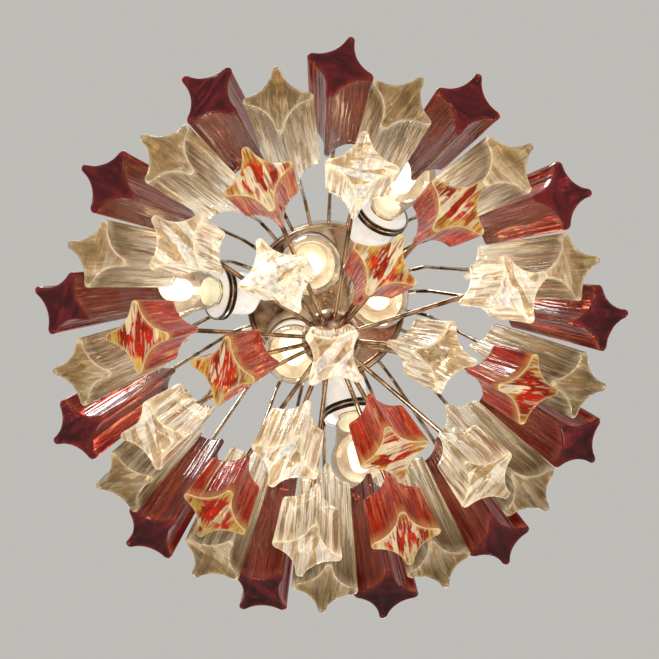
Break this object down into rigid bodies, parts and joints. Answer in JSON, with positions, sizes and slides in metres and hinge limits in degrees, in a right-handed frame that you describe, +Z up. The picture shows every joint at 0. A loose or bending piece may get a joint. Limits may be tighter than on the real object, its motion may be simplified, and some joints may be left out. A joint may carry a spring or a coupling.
{
  "type": "chandelier",
  "caption": "Flush ceiling chandelier: a round metal pan and ball carry bent rods with four-pointed solid glass bars in ruby, amber and clear, around screw-in lamps.",
  "frame": {"origin": "centre of the ceiling bracket's top face, on the ceiling, midway between its two screw slots", "axes": "+Z up towards the ceiling, along the stem; +X along the bracket"},
  "size_m": [0.5119, 0.511, 0.3913],
  "materials": {
    "ruby_glass": "deep crimson solid glass, polished, ribbed sides",
    "clear_glass": "clear champagne solid glass, ribbed sides",
    "amber_glass": "orange amber solid glass with yellow edges",
    "bulb_glass": "clear lamp glass",
    "warm_chrome": "bright plated metal with a warm tone",
    "zinc_steel": "zinc plated strip",
    "porcelain": "white glazed lampholder with a dark double ring",
    "terminal_plastic": "cream moulded plastic"
  },
  "bodies": {
    "lamp_frame": {"ruby_bar_01": "ruby_glass", "ruby_bar_02": "ruby_glass", "ruby_bar_03": "ruby_glass", "ruby_bar_04": "ruby_glass", "ruby_bar_05": "ruby_glass", "ruby_bar_06": "ruby_glass", "ruby_bar_07": "ruby_glass", "ruby_bar_08": "ruby_glass", "ruby_bar_09": "ruby_glass", "ruby_bar_10": "ruby_glass", "ruby_bar_11": "ruby_glass", "ruby_bar_12": "ruby_glass", "ruby_bar_13": "ruby_glass", "clear_bar_01": "clear_glass", "clear_bar_02": "clear_glass", "clear_bar_03": "clear_glass", "clear_bar_04": "clear_glass", "clear_bar_05": "clear_glass", "clear_bar_06": "clear_glass", "clear_bar_07": "clear_glass", "clear_bar_08": "clear_glass", "clear_bar_09": "clear_glass", "clear_bar_10": "clear_glass", "clear_bar_11": "clear_glass", "clear_bar_12": "clear_glass", "clear_bar_13": "clear_glass", "middle_amber_bar_01": "amber_glass", "middle_clear_bar_02": "clear_glass", "middle_amber_bar_03": "amber_glass", "middle_clear_bar_04": "clear_glass", "middle_amber_bar_05": "amber_glass", "middle_clear_bar_06": "clear_glass", "middle_amber_bar_07": "amber_glass", "middle_clear_bar_08": "clear_glass", "middle_amber_bar_09": "amber_glass", "middle_clear_bar_10": "clear_glass", "middle_amber_bar_11": "amber_glass", "middle_clear_bar_12": "clear_glass", "centre_clear_bar_01": "clear_glass", "centre_amber_bar_02": "amber_glass", "centre_clear_bar_03": "clear_glass", "centre_amber_bar_04": "amber_glass", "centre_clear_bar_05": "clear_glass", "centre_amber_bar_06": "amber_glass", "bottom_clear_bar": "clear_glass", "pan": "warm_chrome", "ceiling_bracket": "zinc_steel", "stem": "warm_chrome", "pan_collar": "warm_chrome", "ball": "warm_chrome", "outer_arms": "warm_chrome", "inner_arms": "warm_chrome", "lamp_sockets": "porcelain", "terminal_block": "terminal_plastic"},
    "bulb_1": {"bulb_1": "bulb_glass"},
    "bulb_2": {"bulb_2": "bulb_glass"},
    "bulb_3": {"bulb_3": "bulb_glass"},
    "bulb_4": {"bulb_4": "bulb_glass"},
    "bulb_5": {"bulb_5": "bulb_glass"},
    "bulb_6": {"bulb_6": "bulb_glass"}
  },
  "joints": [
    {"name": "bulb_1_unscrew", "type": "hinge", "parent": "lamp_frame", "child": "bulb_1", "pos_m": [-0.01693, -0.04917, -0.076], "axis": [0, 0, -1], "range_deg": [0, 1080]},
    {"name": "bulb_2_unscrew", "type": "hinge", "parent": "lamp_frame", "child": "bulb_2", "pos_m": [0.04945, -0.01607, -0.076], "axis": [0, 0, -1], "range_deg": [0, 1080]},
    {"name": "bulb_3_unscrew", "type": "hinge", "parent": "lamp_frame", "child": "bulb_3", "pos_m": [-0.03412, 0.03924, -0.076], "axis": [0, 0, -1], "range_deg": [0, 1080]},
    {"name": "bulb_4_unscrew", "type": "hinge", "parent": "lamp_frame", "child": "bulb_4", "pos_m": [0.05665, -0.10037, -0.08114], "axis": [0.4122, -0.7304, -0.5446], "range_deg": [0, 1080]},
    {"name": "bulb_5_unscrew", "type": "hinge", "parent": "lamp_frame", "child": "bulb_5", "pos_m": [0.02415, 0.1127, -0.08114], "axis": [0.1757, 0.82, -0.5446], "range_deg": [0, 1080]},
    {"name": "bulb_6_unscrew", "type": "hinge", "parent": "lamp_frame", "child": "bulb_6", "pos_m": [-0.11394, -0.01738, -0.08114], "axis": [-0.8291, -0.1265, -0.5446], "range_deg": [0, 1080]}
  ]
}
